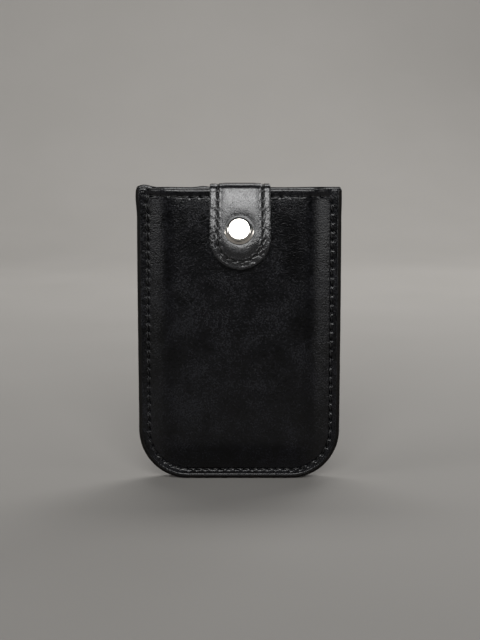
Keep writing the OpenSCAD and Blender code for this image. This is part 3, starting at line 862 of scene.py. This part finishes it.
def strap_piece(name, path, row, round_tip, inner_ply, seed):
    """One ply of the strap: its outer face, its rounded rim and its inner face."""
    across = graded(STRAP_RIM_R, (1.9, 0.26), (3.7, 0.13), (5.2, 0.25), (STRAP_HALF, 0.36))
    turn = np.linspace(math.pi / 2, -math.pi / 2, 7)
    u_rim, share_rim = STRAP_RIM_R * (1 - np.cos(turn)), (1 + np.sin(turn)) / 2
    if round_tip:
        side = -spread(0, TIP_CENTRE, 0.27)
        points, inwards = u_outline(STRAP_HALF, STRAP_HALF, side, 62, [0, 0])
        points, inwards = points * [1, -1], inwards * [1, -1]
        down = np.clip(points[:, 1] - front_path.total + 1.4, 0, 1.4) / 1.4
        points[:, 1] += 0.28 * down ** 3 * bell(points[:, 0], 1.1)
    else:
        side = graded(0, (12, 0.27), (path.total, 0.5))
        left = np.stack([np.full(len(side), -STRAP_HALF), side], 1)
        points = np.concatenate([left, left[::-1] * [-1, 1]])
        inwards = np.tile([[1.0, 0.0]], (len(points), 1))
        inwards[len(side):] *= -1

    def at(insets):
        return inset_grid(points, inwards, insets)

    def top(x, run):
        if inner_ply:
            return np.full(x.shape, STRAP_LINING_T - 0.02)
        return strap_height(x, run, round_tip, row, seed)

    low = 0.0 if inner_ply else STRAP_LINING_T
    x, run = at(across[::-1])
    outer = path.place(x, run, top(x, run))
    edge_top = top(*at(np.full(len(u_rim), STRAP_RIM_R)))
    x, run = at(u_rim)
    rim = path.place(x, run, low + (edge_top - low) * share_rim[None, :])
    x, run = at(np.array([STRAP_RIM_R, 2.0, 4.5, 7.5, STRAP_HALF]))
    wave = 0.02 * noise2(x, run, 5, seed + 7) if inner_ply else 0.0
    under = path.place(x, run, low + wave)
    soup = Soup()
    soup.grid(np.concatenate([outer, rim[:, 1:-1], under], axis=1), flip=not round_tip)
    return soup.mesh(name, M["lining"] if inner_ply else M["strap"])


def strap_threads(name, path, row, round_tip):
    def place(x, run, h):
        return path.place(x, run, strap_rest(line_mean(x), line_mean(run), round_tip) + h)

    return row.tubes(place, lift=-0.14, dip=0.45, radius=0.24).mesh(name, M["thread"])


def bend_rear(piece):
    """Bakes the rear strap piece's transform into its mesh."""
    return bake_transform(piece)


def bend_front(piece):
    """Bakes the front strap piece's transform into its mesh."""
    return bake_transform(piece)


def finish_bent(piece, bend, slot, *nodes):
    """Runs bend on a piece and hides the CAD nodes it stands in for. slot is not used."""
    bend(piece)
    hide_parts(*nodes)


for ply, inner_ply, slot in (("leather", False, "shell_leather"), ("lining", True, "lining")):
    piece = strap_piece("strap_front_" + ply, front_path, front_row, True, inner_ply, 71)
    finish_bent(piece, bend_front, slot, "strap_flap_" + ply, "strap_bridge_" + ply)
    piece = strap_piece("strap_rear_" + ply, rear_path, rear_row, False, inner_ply, 73)
    finish_bent(piece, bend_rear, slot, "strap_root_" + ply)

piece = strap_threads("strap_front_thread", front_path, front_row, True)
finish_bent(piece, bend_front, "thread", "strap_flap_stitching")
piece = strap_threads("strap_rear_thread", rear_path, rear_row, False)
finish_bent(piece, bend_rear, "thread", "strap_bridge_stitching")


# -------------------- the snap


def lathe(name, profile, base_y, *materials, tilt=0.0, segments=72, raised=0.0, split=0):
    """Turns [radius, height] points round the snap's axis. Height goes towards the front,
    and tilt in degrees turns the face up. Points before split get the second material."""
    profile = np.asarray(profile, float)
    a = np.linspace(0, 2 * math.pi, segments, endpoint=False)
    x = profile[:, None, 0] * np.cos(a)[None, :]
    z = profile[:, None, 0] * np.sin(a)[None, :]
    h = np.broadcast_to(profile[:, None, 1], x.shape)
    t = math.radians(tilt)
    out = h * math.cos(t) - z * math.sin(t)
    up = z * math.cos(t) + h * math.sin(t)
    spots = np.stack([x, base_y - out, SNAP_Z + raised + up], -1)
    soup = Soup()
    if split:
        soup.grid(spots[:split + 1], 1, close_cols=True, flip=True)
    soup.grid(spots[split:], close_cols=True, flip=True)
    return soup.mesh(name, *materials)


def rounded(r, h, radius, from_deg, to_deg, steps=6):
    """Arc of a profile round (r, h)."""
    a = np.radians(np.linspace(from_deg, to_deg, steps))
    return np.stack([r + radius * np.cos(a), h + radius * np.sin(a)], 1)


DISC_R = 4.48
CAP_H = 1.45
DOME_R = 43.0
CAP_TILT = 13.6
CAP_RAISE = 0.5
CAP_SEAT_Y = FLAP_SNAP_Y - STRAP_T + 0.27
DISC_EDGE_R = 0.55
FLANGE_POINTS = 8
dome = np.linspace(DISC_R - DISC_EDGE_R + 0.08, 0, 12)
dome_h = CAP_H + np.sqrt(DOME_R ** 2 - dome ** 2) - DOME_R + dome[0] ** 2 / DOME_R / 2
cap_profile = np.concatenate([
    [[0, -0.3], [FLANGE_R - 0.1, -0.3]],
    rounded(FLANGE_R - 0.12, 0.0, 0.12, -40, 60),
    [[DISC_R + 0.03, 0.53], [DISC_R, 0.60], [DISC_R, CAP_H - DISC_EDGE_R]],
    rounded(DISC_R - DISC_EDGE_R, CAP_H - DISC_EDGE_R, DISC_EDGE_R, 0, 82, 10),
    np.stack([dome, dome_h], 1),
])
cap = lathe("snap_cap_face", cap_profile, CAP_SEAT_Y, M["nickel"], M["satin"], tilt=CAP_TILT,
            segments=96, raised=CAP_RAISE, split=FLANGE_POINTS)
finish_piece(cap, "strap_flap", "nickel", "snap_cap")

FOOT_R = (stud_high[0] - stud_low[0]) / 2
STUD_TOP = -stud_low[1] - HALF_T
stud_profile = np.concatenate([
    [[0, -0.15], [FOOT_R - 0.2, -0.15]],
    rounded(FOOT_R - 0.2, 0.08, 0.2, -90, 90, 7),
    [[FOOT_R - 1.2, 0.36], [2.3, 0.62]],
    [[1.75, 0.85], [1.62, 1.1], [1.62, STUD_TOP - 0.95]],
    rounded(1.55, STUD_TOP - 0.42, 0.36, -55, 70, 9),
    [[1.2, STUD_TOP - 0.03], [0.6, STUD_TOP], [0, STUD_TOP]],
])
stud = lathe("snap_stud_turned", stud_profile, PANEL_Y, M["nickel"])
finish_piece(stud, "shell", "nickel", "snap_stud")

SOCKET_R = (socket_high[0] - socket_low[0]) / 2
SOCKET_DEEP = socket_high[1] - socket_low[1]
BORE_R = 2.1
socket_profile = np.concatenate([
    [[0, 0], [SOCKET_R, 0]],
    rounded(SOCKET_R - 0.18, SOCKET_DEEP - 0.18, 0.18, 0, 90, 6),
    [[3.3, SOCKET_DEEP - 0.02], [3.0, SOCKET_DEEP - 0.14], [2.75, SOCKET_DEEP - 0.02]],
    rounded(BORE_R + 0.12, SOCKET_DEEP - 0.12, 0.12, 90, 180, 5),
    [[BORE_R, SOCKET_DEEP - 0.44], [0, SOCKET_DEEP - 0.44]],
])
socket_profile = (socket_profile * [1, -1])[::-1]
socket = lathe("snap_socket_turned", socket_profile, socket_low[1], M["nickel"])
finish_piece(socket, "strap_flap", "nickel", "snap_socket")


def recolour(node, material):
    """Gives a CAD node that is carried over a material of its own kind."""
    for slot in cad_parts[node].material_slots:
        slot.material = M[material]


recolour("stud_rivet", "nickel")
recolour("snap_post", "nickel")
recolour("snap_spring", "spring")


# -------------------- the five pockets

POCKETS = range(1, 6)
POCKET_CORNER_R = 6.0


def ply_columns(half):
    edge = np.array([0.0, 0.18, 0.45, 1.0, 1.7, 2.6, 4.2])
    return chain(edge - half, spread(4.2 - half, half - 4.2, 2.2), (half - edge)[::-1])


def pocket_ply(name, node, scoop, seed):
    """A thin leather ply with rounded edges, a pressed line under its top edge and a
    little unevenness."""
    low, high = box_mm(node)
    half, r = high[0], POCKET_CORNER_R
    x = ply_columns(half)
    over = np.clip(np.abs(x) - (half - r), 0, r)
    bottom = low[2] + r - np.sqrt(r * r - over * over)
    top = np.full_like(x, high[2])
    if scoop:
        scoop_r, depth = 40.0, 3.0
        top = np.minimum(top, high[2] + scoop_r - depth - np.sqrt(scoop_r ** 2 - x ** 2))
    rows = chain([0, 0.004, 0.01, 0.022, 0.04], spread(0.04, 0.94, 0.02),
                 [0.94, 0.962, 0.975, 0.981, 0.987, 0.993, 0.997, 1.0])
    z = bottom[None, :] + (top - bottom)[None, :] * rows[:, None]
    xx = np.broadcast_to(x[None, :], z.shape)
    inside = np.minimum(half - np.abs(xx), np.minimum(z - bottom[None, :], top[None, :] - z))
    taper = 0.16 * (1 - np.sqrt(1 - (1 - np.clip(inside / 0.45, 0, 1)) ** 2))
    line = 0.07 * bell(top[None, :] - z - 1.7, 0.35)
    wave = 0.04 * noise2(xx, z, 14, seed)
    front_y = low[1] + taper + line + wave + 0.02
    back_y = high[1] - taper + wave - 0.02
    soup = Soup()
    face, rear = (np.stack([xx, y, z], -1) for y in (front_y, back_y))
    soup.grid(face)
    soup.grid(rear, flip=True)
    for a, b, flip in ((face[0], rear[0], True), (face[-1], rear[-1], False),
                       (face[:, 0], rear[:, 0], False), (face[:, -1], rear[:, -1], True)):
        soup.grid(np.stack([a, b]), flip=flip)
    return soup.mesh(name, M["pocket"])


def pocket_row(node, seed):
    """Stitches of a pocket's front ply, just in from its edge."""
    low, high = box_mm(node)
    rng = np.random.default_rng(seed)
    row = Row()
    r, line = POCKET_CORNER_R, 0.85
    for z in centres(low[2] + r, high[2] - 3, 3.2):
        z += rng.uniform(-0.05, 0.05)
        for side in (-1, 1):
            row.add(side * (high[0] - line), z, 0, 1, 0.2)
    for a in centres(0, math.pi / 2, 3.0 / (r - line)):
        for side in (-1, 1):
            row.add(side * (high[0] - r + (r - line) * math.cos(a)),
                    low[2] + r - (r - line) * math.sin(a), side * math.sin(a), math.cos(a), 0.2)
    for x in centres(r - high[0], high[0] - r, 3.2):
        row.add(x, low[2] + line, 1, 0, 0.2)
    return row


for i in POCKETS:
    name = f"pocket_{i}"
    ply = pocket_ply(name + "_front_leather", name + "_front_ply", True, 100 + i)
    finish_piece(ply, name, "pocket_leather", name + "_front_ply")
    ply = pocket_ply(name + "_rear_leather", name + "_back_ply", False, 110 + i)
    finish_piece(ply, name, "pocket_leather", name + "_back_ply")
    face_y = box_mm(name + "_front_ply")[0][1]
    row = pocket_row(name + "_front_ply", 120 + i)
    tubes = row.tubes(lambda x, z, h: np.stack([x, face_y - h, z], -1), lift=-0.06, dip=0.3,
                      radius=0.2, sides=6, rings=7)
    thread = tubes.mesh(name + "_seam_thread", M["thread"])
    finish_piece(thread, name, "thread", name + "_thread")
    recolour(name + "_welt", "welt")


# -------------------- elastic tapes


def tape(i):
    """A slack loop of woven tape from the body in front to pocket i."""
    low, high = box_mm(f"ribbon_{i}")
    y0, y1 = low[1] + 0.15, high[1] - 0.15
    turn_r = (y1 - y0) / 2
    turn_z = low[2] + turn_r + 0.15
    leg = spread(high[2] - 0.05, turn_z, 0.5)
    a = np.linspace(math.pi, 2 * math.pi, 15)
    y = chain(np.full(len(leg), y0), y0 + turn_r + turn_r * np.cos(a), np.full(len(leg), y1))
    z = chain(leg, turn_z + turn_r * np.sin(a), leg[::-1])
    line = np.stack([y, z], 1)
    d = np.gradient(line, axis=0)
    d /= np.linalg.norm(d, axis=1)[:, None]
    out = np.stack([-d[:, 1], d[:, 0]], 1)
    half = high[0]
    x = graded(-half, (0.6 - half, 0.2), (half - 0.6, 0.9), (half, 0.2))
    thick = 0.12 - 0.06 * smooth((np.abs(x) - half + 0.5) / 0.5)
    soup = Soup()
    shells = []
    for sign in (1, -1):
        spot = line[:, None, :] + sign * thick[None, :, None] * out[:, None, :]
        across = np.broadcast_to(x, spot.shape[:2])
        shells.append(np.stack([across, spot[..., 0], spot[..., 1]], -1))
    soup.grid(np.concatenate([shells[0], shells[1][:, ::-1]], axis=1), close_cols=True)
    piece = soup.mesh(f"elastic_tape_{i}", M["ribbon"])
    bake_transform(piece)
    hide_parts(f"ribbon_{i}")


for i in POCKETS:
    tape(i)


# -------------------- floor, light, camera


def sweep_floor():
    """Plain pale floor that turns up into a backdrop far behind."""
    turn_r, far, near, half = 0.5, 1.1, -1.6, 2.2
    a = np.linspace(-math.pi / 2, 0, 13)
    y = chain([near, -0.3, 0.3, far], far + turn_r * np.cos(a), [far + turn_r, far + turn_r])
    z = chain([0, 0, 0, 0], turn_r + turn_r * np.sin(a), [turn_r, 2.2])
    x, row = np.meshgrid(np.linspace(-half, half, 3), np.arange(len(y)))
    soup = Soup()
    soup.grid(np.stack([x, y[row], z[row]], -1) / MM, flip=True)
    floor = soup.mesh("floor", M["floor"])


def softbox(name, at, towards, size, watts, spread=180):
    """A rectangular soft light. spread is the beam's full angle in degrees."""
    light = bpy.data.lights.new(name, "AREA")
    light.shape = "RECTANGLE"
    light.size, light.size_y = size
    light.energy = watts
    light.spread = math.radians(spread)
    obj = bpy.data.objects.new(name, light)
    bpy.context.scene.collection.objects.link(obj)
    obj.location = at
    obj.rotation_euler = (Vector(towards) - Vector(at)).to_track_quat("-Z", "Y").to_euler()


def studio():
    sweep_floor()
    softbox("front_softbox", (0.0, -0.95, 0.63), (0, 0, 0.63), (0.50, 0.62), 4.8, 100)
    softbox("left_softbox", (-0.80, -0.44, 0.30), (0, 0, 0.30), (0.42, 0.36), 2.1)
    softbox("right_softbox", (0.82, -0.46, 0.20), (0, 0, 0.20), (0.46, 0.28), 1.45)
    softbox("top_softbox", (0.0, 0.8, 1.3), (0, 1.0, 0.0), (1.2, 0.6), 8.5, 140)
    softbox("back_softbox", (0.6, 1.0, 0.75), (0, 0, 0.07), (0.7, 0.5), 4.0)
    world = bpy.data.worlds.new("studio")
    world.use_nodes = True
    world.node_tree.nodes["Background"].inputs["Color"].default_value = (0.75, 0.78, 0.82, 1)
    world.node_tree.nodes["Background"].inputs["Strength"].default_value = 0.05
    bpy.context.scene.world = world
    bpy.context.scene.view_settings.view_transform = "Standard"


def camera():
    """Straight on and a little from above, with a long lens."""
    data = bpy.data.cameras.new("camera")
    data.lens = 90
    data.sensor_width = 36
    data.clip_start = 0.01
    obj = bpy.data.objects.new("camera", data)
    bpy.context.scene.collection.objects.link(obj)
    obj.location = (0.0003, -0.590, 0.124)
    looks_down = 6.29
    obj.rotation_euler = (math.radians(90 - looks_down), 0, 0)
    bpy.context.scene.camera = obj


studio()
camera()
